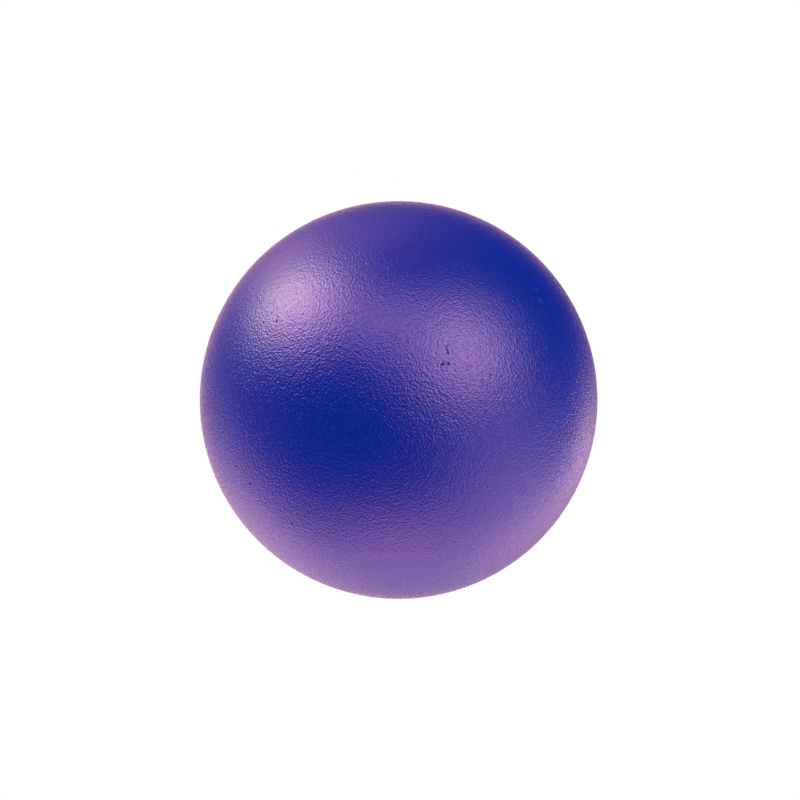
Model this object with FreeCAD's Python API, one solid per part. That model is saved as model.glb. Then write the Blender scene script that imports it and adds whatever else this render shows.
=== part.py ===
"""A coated foam play ball, as the layers it is made of.

A solid ball of soft polyurethane foam is sprayed with three coats, one over another. Each coat is
a thin closed shell, and all the layers share one centre:

    foam_core      the soft foam ball that gives the bounce
    sealing_coat   soaks into the cut cells of the foam's surface and closes them
    elastic_skin   the tough, stretchy skin that keeps the foam from tearing
    colour_coat    the pigmented satin coat that is seen and touched

Units are millimetres. The origin is the ball's centre and +Z points up, so the ball rests on
z = -BALL_DIAMETER / 2. Nothing on it moves, and it has no valve, because the foam carries the load.
"""

import FreeCAD, Part
import os

# driving dimensions
BALL_DIAMETER = 160.0  # over the colour coat
COLOUR_THICKNESS = 0.3
SKIN_THICKNESS = 0.4
SEALING_THICKNESS = 0.2

CENTRE = FreeCAD.Vector(0, 0, 0)
PARTS_FOLDER = "parts"

# each layer's outer radius, from the outside in
COLOUR_RADIUS = BALL_DIAMETER / 2
SKIN_RADIUS = COLOUR_RADIUS - COLOUR_THICKNESS
SEALING_RADIUS = SKIN_RADIUS - SKIN_THICKNESS
CORE_RADIUS = SEALING_RADIUS - SEALING_THICKNESS


def full_ball(radius):
    """A solid ball about the shared centre, with its poles on the vertical axis."""
    return Part.makeSphere(radius, CENTRE)


def coat(outer_radius, inner_radius):
    """One sprayed coat: a closed shell that lies on the layer under it all the way round."""
    return full_ball(outer_radius).cut(full_ball(inner_radius))


def foam_core():
    """Soft open-cell foam, cut or moulded to a ball in one piece, solid all through."""
    return full_ball(CORE_RADIUS)


def sealing_coat():
    """The first coat, which fills the open cells at the foam's surface and gives grip to the skin."""
    return coat(SEALING_RADIUS, CORE_RADIUS)


def elastic_skin():
    """The thickest coat, an elastomer that stretches as the ball is squeezed."""
    return coat(SKIN_RADIUS, SEALING_RADIUS)


def colour_coat():
    """The last coat, with the colour in it. It meets the ground and the hand."""
    return coat(COLOUR_RADIUS, SKIN_RADIUS)


def write_part(name, shape):
    """Checks that the piece is one closed solid and writes it under its own name."""
    if not shape.isValid() or len(shape.Solids) != 1:
        raise ValueError(f"{name} is not one valid solid")
    shape.Solids[0].exportStep(os.path.join(PARTS_FOLDER, f"{name}.step"))
    print(f"{name}: {shape.Volume / 1000:.1f} cm3")


os.makedirs(PARTS_FOLDER, exist_ok=True)
for make_piece in (foam_core, sealing_coat, elastic_skin, colour_coat):
    write_part(make_piece.__name__, make_piece())
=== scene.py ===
"""The looks of a coated foam play ball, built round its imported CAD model.

The ball is four layers about one centre. Each is rebuilt here as its own mesh, at or just inside the
radius that the CAD gives it, with a surface like the real one's: cut cells on the foam, softened cells
on the sealing coat, and a random orange-peel grain on the elastic skin and the colour coat. The colour
coat also has a few open pinholes, raised specks and scuffs.

Units are metres. The origin is the ball's centre, +Z points up, and the camera looks along +Y.
"""

import math

import bpy
import numpy as np
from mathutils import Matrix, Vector


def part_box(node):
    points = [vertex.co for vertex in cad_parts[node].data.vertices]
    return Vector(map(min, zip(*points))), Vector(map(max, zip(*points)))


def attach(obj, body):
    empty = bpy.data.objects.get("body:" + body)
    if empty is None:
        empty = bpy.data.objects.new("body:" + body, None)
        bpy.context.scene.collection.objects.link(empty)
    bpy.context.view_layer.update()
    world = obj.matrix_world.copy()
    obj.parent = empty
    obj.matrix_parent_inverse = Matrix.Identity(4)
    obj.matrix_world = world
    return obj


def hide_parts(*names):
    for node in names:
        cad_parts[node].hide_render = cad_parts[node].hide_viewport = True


MM = 0.001  # metres in a millimetre

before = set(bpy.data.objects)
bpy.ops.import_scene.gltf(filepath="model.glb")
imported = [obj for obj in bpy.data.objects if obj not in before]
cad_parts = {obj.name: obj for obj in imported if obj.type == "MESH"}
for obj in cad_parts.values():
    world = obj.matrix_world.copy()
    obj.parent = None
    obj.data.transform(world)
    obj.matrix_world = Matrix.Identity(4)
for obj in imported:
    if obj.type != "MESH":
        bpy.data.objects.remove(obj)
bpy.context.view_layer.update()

BALL_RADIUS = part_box("colour_coat")[1].z
SKIN_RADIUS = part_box("elastic_skin")[1].z
SEALING_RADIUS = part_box("sealing_coat")[1].z
CORE_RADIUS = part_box("foam_core")[1].z


# ---- camera and studio ------------------------------------------------------------------------

CAMERA_ELEVATION = 10.0  # degrees above the ball's centre
CAMERA_LENS = 100.0  # millimetres, on Blender's 36 mm wide sensor
SENSOR_HALF_WIDTH = 18.0
BALL_SHARE_OF_WIDTH = 0.498
CAMERA_SHIFT = 0.00175  # the ball sits a hair left of the middle

FLOOR_HALF_WIDTH = 60 * BALL_RADIUS
FAN_START = 11 * BALL_RADIUS  # how far in front of the ball the floor's fan of white light begins
FAN_WHITE_WITHIN = 12.0  # degrees to either side of straight back
FAN_GREY_BEYOND = 45.0
PALE_GREY = 0.66

# The tent's even white walls, which only the ball's matt colour sees
TENT_STRENGTH = 1.46  # to the ball's left and right, above it and below it
TENT_GAIN_TO_THE_BACK = 0.70  # added straight behind the ball, and taken away on the camera's side

# Tints of the lights
WHITE = (1.0, 1.0, 1.0)
WARM = (1.0, 0.98, 0.69)
COOL = (1.0, 0.90, 1.20)
LILAC = (1.0, 0.62, 0.68)
ROSE = (1.0, 0.52, 0.60)

# Soft lights, which only the ball's gloss sees: azimuth, elevation and half width in degrees,
# brightness, and tint
SOFT_LIGHTS = {
    "left_softbox": (-108, 38, 15, 8.7, WARM),
    "left_softbox_edge": (-143, 27, 13, 1.8, ROSE),
    "ceiling_left": (-80, 46, 19, 10.4, WHITE),
    "ceiling_front": (-15, 53, 19, 4.0, COOL),
    "right_softbox": (44, 32, 26, 8.9, WHITE),
    "ceiling_back": (-138, 57, 29, 1.3, ROSE),
    "table_right": (66, -33, 29, 2.6, COOL),
    "table_far_right": (123, -43, 26, 2.7, LILAC),
    "table_left": (-124, -44, 32, 2.6, LILAC),
    "table_under": (4, -79, 27, 3.7, LILAC),
    "backdrop_left": (-176, -9, 22, 1.4, ROSE),
    "backdrop_right": (141, -17, 10, 2.4, LILAC),
}


def direction(azimuth, elevation):
    """A unit vector. Azimuth 0 is towards the camera, 90 is to its right and 180 is behind the ball."""
    a = math.radians(azimuth)
    e = math.radians(elevation)
    return Vector((math.cos(e) * math.sin(a), -math.cos(e) * math.cos(a), math.sin(e)))


def add_camera():
    """A long lens, so far away that the ball's outline fills its share of the picture's width."""
    data = bpy.data.cameras.new("camera")
    data.lens = CAMERA_LENS
    data.shift_x = CAMERA_SHIFT
    camera = bpy.data.objects.new("camera", data)
    bpy.context.scene.collection.objects.link(camera)
    distance = BALL_RADIUS * math.hypot(1, CAMERA_LENS / (BALL_SHARE_OF_WIDTH * SENSOR_HALF_WIDTH))
    camera.location = direction(0, CAMERA_ELEVATION) * distance
    camera.rotation_euler = (math.radians(90 - CAMERA_ELEVATION), 0, 0)
    bpy.context.scene.camera = camera


def add_white_fan(tree, coordinate, start):
    """A brightness: white in a fan behind the ball, easing to pale grey beside and in front of it."""
    place = tree.nodes.new("ShaderNodeTexCoord")
    split = tree.nodes.new("ShaderNodeSeparateXYZ")
    depth = tree.nodes.new("ShaderNodeMath")
    depth.operation = "ADD"
    depth.inputs[1].default_value = start
    angle = tree.nodes.new("ShaderNodeMath")
    angle.operation = "ARCTAN2"
    to_either_side = tree.nodes.new("ShaderNodeMath")
    to_either_side.operation = "ABSOLUTE"
    fan = tree.nodes.new("ShaderNodeMapRange")
    fan.interpolation_type = "SMOOTHSTEP"
    fan.inputs["From Min"].default_value = math.radians(FAN_WHITE_WITHIN)
    fan.inputs["From Max"].default_value = math.radians(FAN_GREY_BEYOND)
    fan.inputs["To Min"].default_value = 1
    fan.inputs["To Max"].default_value = PALE_GREY
    tree.links.new(place.outputs[coordinate], split.inputs[0])
    tree.links.new(split.outputs["Y"], depth.inputs[0])
    tree.links.new(split.outputs["X"], angle.inputs[0])
    tree.links.new(depth.outputs[0], angle.inputs[1])
    tree.links.new(angle.outputs[0], to_either_side.inputs[0])
    tree.links.new(to_either_side.outputs[0], fan.inputs["Value"])
    return fan.outputs["Result"]


def add_floor():
    """A plain pale floor under the ball, glowing in a painted fan of light. Only the camera sees it, so
    it shows no shadow.
    """
    size = FLOOR_HALF_WIDTH
    mesh = bpy.data.meshes.new("floor")
    corners = [(-size, -size, 0), (size, -size, 0), (size, size, 0), (-size, size, 0)]
    mesh.from_pydata(corners, [], [(0, 1, 2, 3)])
    floor = bpy.data.objects.new("floor", mesh)
    bpy.context.scene.collection.objects.link(floor)
    floor.location.z = -BALL_RADIUS
    material = bpy.data.materials.new("pale_floor")
    material.use_nodes = True
    tree = material.node_tree
    tree.nodes.clear()
    glow = tree.nodes.new("ShaderNodeEmission")
    output = tree.nodes.new("ShaderNodeOutputMaterial")
    # Painted light: the floor's own glow, white in a fan behind the ball, stands for how the studio's
    # light falls on it.
    tree.links.new(add_white_fan(tree, "Object", FAN_START), glow.inputs["Strength"])
    tree.links.new(glow.outputs[0], output.inputs["Surface"])
    mesh.materials.append(material)
    floor.visible_diffuse = False
    floor.visible_glossy = False
    floor.visible_shadow = False


def add_glow(tree, towards, half_width, brightness, colour):
    """A round light with a soft edge, very far off, as a Background shader."""
    spread = 1 - math.cos(math.radians(half_width))
    place = tree.nodes.new("ShaderNodeTexCoord")
    nearness = tree.nodes.new("ShaderNodeVectorMath")
    nearness.operation = "DOT_PRODUCT"
    nearness.inputs[1].default_value = towards
    falloff = tree.nodes.new("ShaderNodeMath")
    falloff.operation = "MULTIPLY_ADD"
    falloff.inputs[1].default_value = 1 / spread
    falloff.inputs[2].default_value = math.log(brightness) - 1 / spread
    strength = tree.nodes.new("ShaderNodeMath")
    strength.operation = "EXPONENT"
    glow = tree.nodes.new("ShaderNodeBackground")
    glow.inputs["Color"].default_value = (*colour, 1)
    tree.links.new(place.outputs["Generated"], nearness.inputs[0])
    tree.links.new(nearness.outputs["Value"], falloff.inputs[0])
    tree.links.new(falloff.outputs[0], strength.inputs[0])
    tree.links.new(strength.outputs[0], glow.inputs["Strength"])
    return glow.outputs[0]


def add_tent_walls(tree):
    """Even white walls, brighter behind the ball than on the camera's side, as a Background shader."""
    place = tree.nodes.new("ShaderNodeTexCoord")
    split = tree.nodes.new("ShaderNodeSeparateXYZ")
    strength = tree.nodes.new("ShaderNodeMath")
    strength.operation = "MULTIPLY_ADD"
    strength.inputs[1].default_value = TENT_GAIN_TO_THE_BACK
    strength.inputs[2].default_value = TENT_STRENGTH
    walls = tree.nodes.new("ShaderNodeBackground")
    walls.inputs["Color"].default_value = (*WHITE, 1)
    tree.links.new(place.outputs["Generated"], split.inputs[0])
    tree.links.new(split.outputs["Y"], strength.inputs[0])
    tree.links.new(strength.outputs[0], walls.inputs["Strength"])
    return walls.outputs[0]


def add_soft_lights(tree):
    """All the soft lights added up, as one shader."""
    total = None
    for azimuth, elevation, half_width, brightness, tint in SOFT_LIGHTS.values():
        glow = add_glow(tree, direction(azimuth, elevation), half_width, brightness, tint)
        if total is None:
            total = glow
            continue
        both = tree.nodes.new("ShaderNodeAddShader")
        tree.links.new(total, both.inputs[0])
        tree.links.new(glow, both.inputs[1])
        total = both.outputs[0]
    return total


def add_world():
    """A light tent in three parts: what the camera sees, what the matt colour sees, what gloss sees."""
    world = bpy.data.worlds.new("light_tent")
    world.use_nodes = True
    tree = world.node_tree
    backdrop = tree.nodes["Background"]
    backdrop.inputs["Color"].default_value = (*WHITE, 1)
    tree.links.new(add_white_fan(tree, "Generated", 0), backdrop.inputs["Strength"])
    path = tree.nodes.new("ShaderNodeLightPath")
    seen_or_matt = tree.nodes.new("ShaderNodeMixShader")
    tree.links.new(path.outputs["Is Diffuse Ray"], seen_or_matt.inputs["Fac"])
    tree.links.new(backdrop.outputs[0], seen_or_matt.inputs[1])
    tree.links.new(add_tent_walls(tree), seen_or_matt.inputs[2])
    tent = tree.nodes.new("ShaderNodeMixShader")
    tree.links.new(path.outputs["Is Glossy Ray"], tent.inputs["Fac"])
    tree.links.new(seen_or_matt.outputs[0], tent.inputs[1])
    tree.links.new(add_soft_lights(tree), tent.inputs[2])
    tree.links.new(tent.outputs[0], tree.nodes["World Output"].inputs["Surface"])
    world.cycles.sampling_method = "NONE"  # a light sample can't tell gloss from the rest
    bpy.context.scene.world = world
    bpy.context.scene.view_settings.view_transform = "Standard"


# ---- shapes -----------------------------------------------------------------------------------

NOISE_TABLE = 256  # random slopes in gradient_noise, a power of two
NOISE_GAIN = 1.6  # brings the noise's usual reach to about -1 to 1
CELL_TABLE = 64  # random cells along each axis before cell_walls repeats, a power of two
SPOT_REACH = 2  # half widths from its centre, past which nothing is left of a spot
SPOT_EDGE = 4  # the higher, the steeper a spot's edge


def smooth_step(amount):
    """Eases an amount from 0 to 1 at both ends."""
    return amount * amount * (3 - 2 * amount)


def round_grid(steps):
    """Unit directions all over a ball, and the quads that join them: a cube's grid blown up round."""
    side = np.arange(steps + 1)
    u, v = (a.ravel() for a in np.meshgrid(side, side, indexing="ij"))
    first = (np.arange(steps)[:, None] * (steps + 1) + np.arange(steps)).ravel()
    quads_of_face = np.stack([first, first + steps + 1, first + steps + 2, first + 1], axis=1)
    corners, quads = [], []
    for axis in range(3):
        for end in (0, steps):
            lattice = np.empty((len(u), 3), int)
            lattice[:, axis] = end
            lattice[:, (axis + 1) % 3] = u
            lattice[:, (axis + 2) % 3] = v
            face = quads_of_face if end else quads_of_face[:, ::-1]
            quads.append(face + len(u) * len(quads))
            corners.append(lattice)
    corners = np.concatenate(corners)
    quads = np.concatenate(quads)
    keys = corners @ np.array([(steps + 1) ** 2, steps + 1, 1])
    _, kept, place = np.unique(keys, return_index=True, return_inverse=True)
    points = np.tan((2 * corners[kept] / steps - 1) * math.pi / 4)
    points /= np.linalg.norm(points, axis=1, keepdims=True)
    return points, place.ravel()[quads]


def gradient_noise(points, spacing, seed):
    """Smooth random bumps, about `spacing` apart and from about -1 to 1."""
    rng = np.random.default_rng(seed)
    shuffle = rng.permutation(NOISE_TABLE)
    slopes = rng.normal(size=(NOISE_TABLE, 3))
    slopes /= np.linalg.norm(slopes, axis=1, keepdims=True)
    cell = points / spacing + rng.uniform(0, NOISE_TABLE, 3)
    base = np.floor(cell).astype(int)
    inside = cell - base
    fade = inside ** 3 * (inside * (inside * 6 - 15) + 10)
    wrap = NOISE_TABLE - 1
    total = np.zeros(len(points))
    for corner in np.ndindex(2, 2, 2):
        x, y, z = ((base + corner) & wrap).T
        slope = slopes[shuffle[(shuffle[(shuffle[x] + y) & wrap] + z) & wrap]]
        weight = np.prod(np.where(corner, fade, 1 - fade), axis=1)
        total += weight * np.einsum("ij,ij->i", slope, inside - corner)
    return total * NOISE_GAIN


def cell_walls(points, spacing, seed):
    """Random foam cells about `spacing` wide: 0 at each point on a wall, rising to 1 inside a cell."""
    jitter = np.random.default_rng(seed).uniform(size=(CELL_TABLE, CELL_TABLE, CELL_TABLE, 3))
    grid = points / spacing
    home = np.floor(grid).astype(int)
    nearest = np.full(len(points), np.inf)
    second = np.full(len(points), np.inf)
    for step in np.ndindex(3, 3, 3):
        cell = home + step - 1
        x, y, z = (cell & (CELL_TABLE - 1)).T
        reach = np.linalg.norm(cell + jitter[x, y, z] - grid, axis=1)
        second = np.minimum(second, np.maximum(nearest, reach))
        nearest = np.minimum(nearest, reach)
    return np.clip((second - nearest) / CELL_SHOULDER, 0, 1)


def spots(directions, centres, widths):
    """How much of a round spot is at each direction: 1 in its middle, falling to 0 past its width."""
    amount = np.zeros(len(directions))
    for centre, width in zip(centres, widths):
        reach = np.linalg.norm(directions - np.array(centre), axis=1) * BALL_RADIUS / (width / 2)
        near = reach < SPOT_REACH
        amount[near] = np.maximum(amount[near], np.exp(-(reach[near] ** SPOT_EDGE)))
    return amount


def make_mesh(name, layers):
    """One mesh from (points, quads) layers."""
    mesh = bpy.data.meshes.new(name)
    points = np.concatenate([p for p, _ in layers])
    offsets = np.cumsum([0] + [len(p) for p, _ in layers[:-1]])
    quads = np.concatenate([q + offset for (_, q), offset in zip(layers, offsets)])
    mesh.vertices.add(len(points))
    mesh.vertices.foreach_set("co", points.astype(np.float32).ravel())
    mesh.loops.add(quads.size)
    mesh.loops.foreach_set("vertex_index", quads.astype(np.int32).ravel())
    mesh.polygons.add(len(quads))
    mesh.polygons.foreach_set("loop_start", np.arange(0, quads.size, 4, dtype=np.int32))
    mesh.update(calc_edges=True)
    mesh.shade_smooth()
    return mesh


def add_marks(mesh, marks):
    """Stores how much of each mark, such as a pinhole, is at each outer point, for the material."""
    for name, amounts in marks.items():
        values = np.zeros(len(mesh.vertices), np.float32)
        values[: len(amounts)] = amounts
        mesh.attributes.new(name, "FLOAT", "POINT").data.foreach_set("value", values)


def add_layer(name, node, radius, hollow_radius, surface, steps, material):
    """A layer of the ball as one piece: its outer surface, and the hollow that the next one fills."""
    directions, quads = round_grid(steps)
    height, marks = surface(directions)
    layers = [(directions * (radius + height)[:, None], quads)]
    if hollow_radius:
        inner, inner_quads = round_grid(HOLLOW_STEPS)
        layers.append((inner * hollow_radius, inner_quads[:, ::-1]))
    piece = bpy.data.objects.new(name, make_mesh(name, layers))
    add_marks(piece.data, marks)
    bpy.context.scene.collection.objects.link(piece)
    piece.data.materials.append(material)
    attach(piece, "root")
    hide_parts(node)
    return piece


# ---- the four surfaces ------------------------------------------------------------------------

# Quads along each side of the cube that is blown up into each surface
COLOUR_STEPS = 384
SKIN_STEPS = 160
SEALING_STEPS = 224
CORE_STEPS = 224
HOLLOW_STEPS = 64

# The colour coat's grain. Spacings and heights are of the noises that it is made of.
PEBBLE_SPACING = 1.0 * MM
PEBBLE_HEIGHT = 0.125 * MM
SPECK_SPACING = 0.8 * MM
SPECK_HEIGHT = 0.08 * MM
WAVE_SPACING = 14 * MM
WAVE_HEIGHT = 0.01 * MM
CREASE_SHARES = [0.02, 0.25]  # of the surface, lowest first: full crease, easing to none
PEEL_DEPTH = 0.28 * MM  # even the deepest crease stays inside the colour coat
DEPTH_LEFT_ON_TOP = 0.66  # of the grain's full depth, where the wet coat has levelled out
LEVELLED_ABOVE = 0.75  # ball radii above the centre, easing to no levelling at its height

# Open pinholes on the camera's side: azimuth and elevation on the ball in degrees, and width in
# millimetres. The third, fourth and fifth run together into a short crack.
PINHOLES = [
    (12.5, 19.3, 1.2), (14.1, 19.3, 1.0), (14.2, 22.3, 1.0), (14.0, 23.2, 0.8), (13.8, 24.1, 0.7),
    (-48.0, -17.0, 1.2), (-35.0, -28.0, 1.1), (-27.5, -23.0, 1.0), (-53.0, -12.5, 1.1),
    (-17.0, -21.0, 0.9), (-9.5, -26.0, 0.9), (71.0, 4.0, 1.2), (69.0, 6.5, 1.0), (72.5, 15.5, 1.1),
    (24.0, 6.0, 0.9), (56.0, -3.5, 1.0), (34.5, 7.5, 0.9), (-41.5, 29.5, 1.0), (-47.0, 28.5, 0.9),
]
PINHOLE_DEPTH = 0.28 * MM
PINHOLES_BEHIND = 20  # at random on the far side, about as close together as the listed ones
AZIMUTHS_BEHIND = (100, 260)  # degrees
SINES_BEHIND = (-0.9, 0.9)  # of the elevation, so that they are spread evenly over the area
WIDTHS_BEHIND = (0.8, 1.2)  # millimetres

# Raised specks and pale scuffs, given like the pinholes
NIBS = [(-36.0, 4.0, 0.9), (-34.0, 4.5, 0.9), (41.5, 24.0, 1.0), (44.5, 36.5, 1.0)]
NIB_HEIGHT = 0.06 * MM
SCUFFS = [(55.5, 34.5, 2.6), (57.0, 38.0, 2.0)]

# The elastic skin's grain
SOFT_PEBBLE_SPACING = 2.6 * MM
SOFT_PEBBLE_HEIGHT = 0.05 * MM
SOFT_WAVE_SPACING = 9 * MM
SOFT_WAVE_HEIGHT = 0.03 * MM

# The foam's cells, and what is left of them in the sealing coat
FOAM_CELL = 2.4 * MM
CELL_SHOULDER = 0.35  # of a cell's width, over which a wall slopes down to the hollow's floor
CELLS_SEED = 31  # the same for both layers, so that their cells lie over one another
CUT_DEPTH = 0.5 * MM
CUT_DEPTH_VARIES = 0.35 * MM
CUT_PATCH = 3.4 * MM
SEALED_DEPTH = 0.09 * MM
SEALED_RIPPLE_SPACING = 1.6 * MM
SEALED_RIPPLE_HEIGHT = 0.015 * MM


def listed_spots(rows):
    """Unit directions and widths from rows of azimuth, elevation and width in millimetres."""
    centres = [direction(azimuth, elevation) for azimuth, elevation, _ in rows]
    widths = [width * MM for _, _, width in rows]
    return centres, widths


def pinhole_spots():
    """The listed pinholes, and random ones on the side that the camera doesn't see."""
    centres, widths = listed_spots(PINHOLES)
    rng = np.random.default_rng(7)
    for _ in range(PINHOLES_BEHIND):
        azimuth = rng.uniform(*AZIMUTHS_BEHIND)
        elevation = math.degrees(math.asin(rng.uniform(*SINES_BEHIND)))
        centres.append(direction(azimuth, elevation))
        widths.append(rng.uniform(*WIDTHS_BEHIND) * MM)
    return centres, widths


def orange_peel(directions):
    """The colour coat's sprayed grain: pebbles with creases between them, pinholes and nibs."""
    points = directions * BALL_RADIUS
    pebbles = np.abs(gradient_noise(points, PEBBLE_SPACING, seed=1))
    specks = gradient_noise(points, SPECK_SPACING, seed=2)
    waves = gradient_noise(points, WAVE_SPACING, seed=3)
    height = PEBBLE_HEIGHT * pebbles + SPECK_HEIGHT * specks + WAVE_HEIGHT * waves
    low, high = np.quantile(height, CREASE_SHARES)
    levelled = smooth_step(np.clip(directions[:, 2] / LEVELLED_ABOVE, 0, 1))
    depth = 1 - (1 - DEPTH_LEFT_ON_TOP) * levelled
    crease = np.clip((high - height) / (high - low), 0, 1) * depth
    height = np.maximum((height - height.max()) * depth, -PEEL_DEPTH)
    height += NIB_HEIGHT * spots(directions, *listed_spots(NIBS))
    pinhole = spots(directions, *pinhole_spots())
    height += (-PINHOLE_DEPTH - height) * pinhole
    scuff = spots(directions, *listed_spots(SCUFFS))
    return height, {"crease": crease, "pinhole": pinhole, "scuff": scuff, "levelled": levelled}


def soft_peel(directions):
    """The elastic skin's own grain, coarser and softer than the colour coat's."""
    points = directions * SKIN_RADIUS
    pebbles = gradient_noise(points, SOFT_PEBBLE_SPACING, seed=11)
    waves = gradient_noise(points, SOFT_WAVE_SPACING, seed=12)
    height = SOFT_PEBBLE_HEIGHT * pebbles + SOFT_WAVE_HEIGHT * waves
    return height - height.max(), {}


def sealed_cells(directions):
    """The foam's cut cells as they show through the sealing coat, nearly filled and rounded over."""
    inside = cell_walls(directions * CORE_RADIUS, FOAM_CELL, CELLS_SEED)
    ripple = gradient_noise(directions * SEALING_RADIUS, SEALED_RIPPLE_SPACING, seed=21)
    height = SEALED_RIPPLE_HEIGHT * ripple - SEALED_DEPTH * smooth_step(inside)
    return height - height.max(), {"hollow": inside}


def cut_cells(directions):
    """Open cells cut through at the foam's surface: round hollows with thin walls between them."""
    points = directions * CORE_RADIUS
    inside = cell_walls(points, FOAM_CELL, CELLS_SEED)
    hollow = inside * (2 - inside)
    cut = CUT_DEPTH + CUT_DEPTH_VARIES * gradient_noise(points, CUT_PATCH, seed=32)
    return np.minimum(-cut * hollow, 0), {"hollow": hollow}


# ---- materials --------------------------------------------------------------------------------

CREASE_DULLS = 0.25  # how much rougher the bottom of a crease is
PINHOLE_DULLS = 0.85  # the same for a pinhole
SCUFF_SHOWS = 0.25  # how much of its own colour the middle of a scuff has


def new_material(name, **sockets):
    """A material with one Principled shader, whose sockets are set by name."""
    material = bpy.data.materials.new(name)
    material.use_nodes = True
    shader = material.node_tree.nodes["Principled BSDF"]
    for socket, value in sockets.items():
        shader.inputs[socket.replace("_", " ")].default_value = value
    return material, material.node_tree, shader


def add_noise(tree, size, detail):
    """Random noise from 0 to 1 in the piece's own space, with features about `size` apart."""
    place = tree.nodes.new("ShaderNodeTexCoord")
    noise = tree.nodes.new("ShaderNodeTexNoise")
    noise.inputs["Scale"].default_value = 1 / size
    noise.inputs["Detail"].default_value = detail
    tree.links.new(place.outputs["Object"], noise.inputs["Vector"])
    return noise.outputs["Fac"]


def add_mark(tree, name):
    """The amount of a mark that add_marks stored, from 0 to 1."""
    mark = tree.nodes.new("ShaderNodeAttribute")
    mark.attribute_name = name
    return mark.outputs["Fac"]


def add_range(tree, amount, low, high):
    """Turns an amount from 0 to 1 into a number from low to high."""
    spread = tree.nodes.new("ShaderNodeMapRange")
    spread.inputs["To Min"].default_value = low
    spread.inputs["To Max"].default_value = high
    tree.links.new(amount, spread.inputs["Value"])
    return spread.outputs["Result"]


def add_blend(tree, amount, first, second):
    """Blends two colours. Each is a colour or another node's output."""
    blend = tree.nodes.new("ShaderNodeMix")
    blend.data_type = "RGBA"
    tree.links.new(amount, blend.inputs["Factor"])
    sockets = [socket for socket in blend.inputs if socket.type == "RGBA"]
    for socket, colour in zip(sockets, (first, second)):
        if isinstance(colour, tuple):
            socket.default_value = (*colour, 1)
        else:
            tree.links.new(colour, socket)
    return next(socket for socket in blend.outputs if socket.type == "RGBA")


def add_sum(tree, amount, gain, other):
    """Adds an amount, times a gain, to another node's output."""
    total = tree.nodes.new("ShaderNodeMath")
    total.operation = "MULTIPLY_ADD"
    total.inputs[1].default_value = gain
    tree.links.new(amount, total.inputs[0])
    tree.links.new(other, total.inputs[2])
    return total.outputs[0]


def add_bump(tree, shader, size, depth, detail):
    """Fine random bumps in the shading, about `size` apart and `depth` high."""
    bump = tree.nodes.new("ShaderNodeBump")
    bump.inputs["Distance"].default_value = depth
    tree.links.new(add_noise(tree, size, detail), bump.inputs["Height"])
    tree.links.new(bump.outputs["Normal"], shader.inputs["Normal"])
    return bump


def colour_coat_material():
    """Satin violet-blue enamel with mauve gloss, duller in its creases, with painted shade in its
    pinholes.
    """
    deep_blue = (0.0002, 0.016, 0.245)
    lighter_blue = (0.0004, 0.018, 0.28)
    scuffed_blue = (0.05, 0.08, 0.40)
    # Painted shade: the near-black blue put in the pinholes stands for the shade down in them, not the
    # coat's own colour.
    pinhole_shade_blue = (0.0, 0.002, 0.04)
    mauve = (1.0, 0.50, 0.68, 1)
    material, tree, shader = new_material("violet_satin_coat", IOR=1.5, Specular_Tint=mauve)
    crease = add_mark(tree, "crease")
    pinhole = add_mark(tree, "pinhole")
    scuff = add_range(tree, add_mark(tree, "scuff"), 0, SCUFF_SHOWS)
    enamel = add_blend(tree, add_noise(tree, 11 * MM, 3.0), deep_blue, lighter_blue)
    scuffed = add_blend(tree, scuff, enamel, scuffed_blue)
    # The pinholes get the painted shade colour here.
    tree.links.new(add_blend(tree, pinhole, scuffed, pinhole_shade_blue), shader.inputs["Base Color"])
    satin = add_range(tree, add_noise(tree, 5 * MM, 2.0), 0.07, 0.11)
    creased = add_sum(tree, crease, CREASE_DULLS, satin)
    tree.links.new(add_sum(tree, pinhole, PINHOLE_DULLS, creased), shader.inputs["Roughness"])
    bump = add_bump(tree, shader, 0.65 * MM, 0.18 * MM, 0.0)
    depth = add_range(tree, add_mark(tree, "levelled"), 1, DEPTH_LEFT_ON_TOP)
    tree.links.new(depth, bump.inputs["Strength"])
    return material


def elastic_skin_material():
    """Dull violet elastomer, coloured through, a little uneven from the spraying."""
    dark_violet = (0.11, 0.10, 0.27)
    pale_violet = (0.15, 0.14, 0.33)
    material, tree, shader = new_material("dull_violet_skin", IOR=1.45)
    mottle = add_blend(tree, add_noise(tree, 8 * MM, 3.0), dark_violet, pale_violet)
    tree.links.new(mottle, shader.inputs["Base Color"])
    dullness = add_range(tree, add_noise(tree, 4 * MM, 2.0), 0.42, 0.58)
    tree.links.new(dullness, shader.inputs["Roughness"])
    add_bump(tree, shader, 1.1 * MM, 0.06 * MM, 2.0)
    return material


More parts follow.
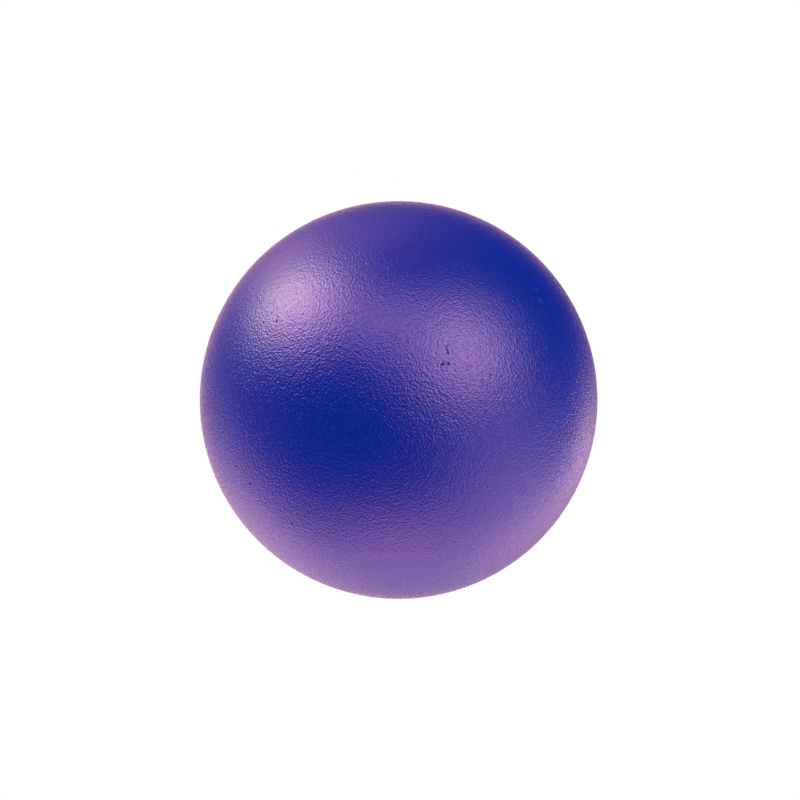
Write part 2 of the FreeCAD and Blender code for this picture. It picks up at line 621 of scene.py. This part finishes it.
def sealing_coat_material():
    """Milky coat, glossier on the foam's walls than where it has sunk into the cells, which are painted
    yellower and darker, the darkening a painted shade.
    """
    yellowish = (0.66, 0.63, 0.53)
    milky = (0.78, 0.76, 0.70)
    # Partly painted shade: the cells' colour is yellower than the coat and darkened to stand for the
    # shade in the hollows.
    cell_yellow_and_shade = (0.60, 0.54, 0.40)
    material, tree, shader = new_material("milky_sealing_coat", IOR=1.45)
    hollow = add_mark(tree, "hollow")
    mottle = add_blend(tree, add_noise(tree, 7 * MM, 3.0), yellowish, milky)
    colour = add_blend(tree, add_range(tree, hollow, 0, 0.5), mottle, cell_yellow_and_shade)
    tree.links.new(colour, shader.inputs["Base Color"])
    tree.links.new(add_range(tree, hollow, 0.35, 0.60), shader.inputs["Roughness"])
    add_bump(tree, shader, 0.9 * MM, 0.05 * MM, 2.0)
    return material


def foam_material():
    """Matt cream polyurethane foam, darker down in its cut cells and yellowed in patches."""
    cream = (0.84, 0.77, 0.60)
    yellowed = (0.76, 0.66, 0.44)
    shadowed = (0.42, 0.33, 0.19)
    material, tree, shader = new_material("cream_open_cell_foam", IOR=1.4)
    hollow = add_mark(tree, "hollow")
    patches = add_blend(tree, add_noise(tree, 18 * MM, 4.0), cream, yellowed)
    colour = add_blend(tree, add_range(tree, hollow, 0, 0.7), patches, shadowed)
    tree.links.new(colour, shader.inputs["Base Color"])
    dullness = add_range(tree, add_noise(tree, 2 * MM, 2.0), 0.85, 1.0)
    tree.links.new(dullness, shader.inputs["Roughness"])
    add_bump(tree, shader, 0.6 * MM, 0.20 * MM, 3.0)
    return material


# ---- the ball ---------------------------------------------------------------------------------

add_camera()
add_world()
add_floor()

add_layer(
    "colour_coat_grained", "colour_coat", BALL_RADIUS, SKIN_RADIUS,
    orange_peel, COLOUR_STEPS, colour_coat_material(),
)
add_layer(
    "elastic_skin_peeled", "elastic_skin", SKIN_RADIUS, SEALING_RADIUS,
    soft_peel, SKIN_STEPS, elastic_skin_material(),
)
add_layer(
    "sealing_coat_celled", "sealing_coat", SEALING_RADIUS, CORE_RADIUS,
    sealed_cells, SEALING_STEPS, sealing_coat_material(),
)
core = add_layer(
    "foam_core_celled", "foam_core", CORE_RADIUS, None,
    cut_cells, CORE_STEPS, foam_material(),
)
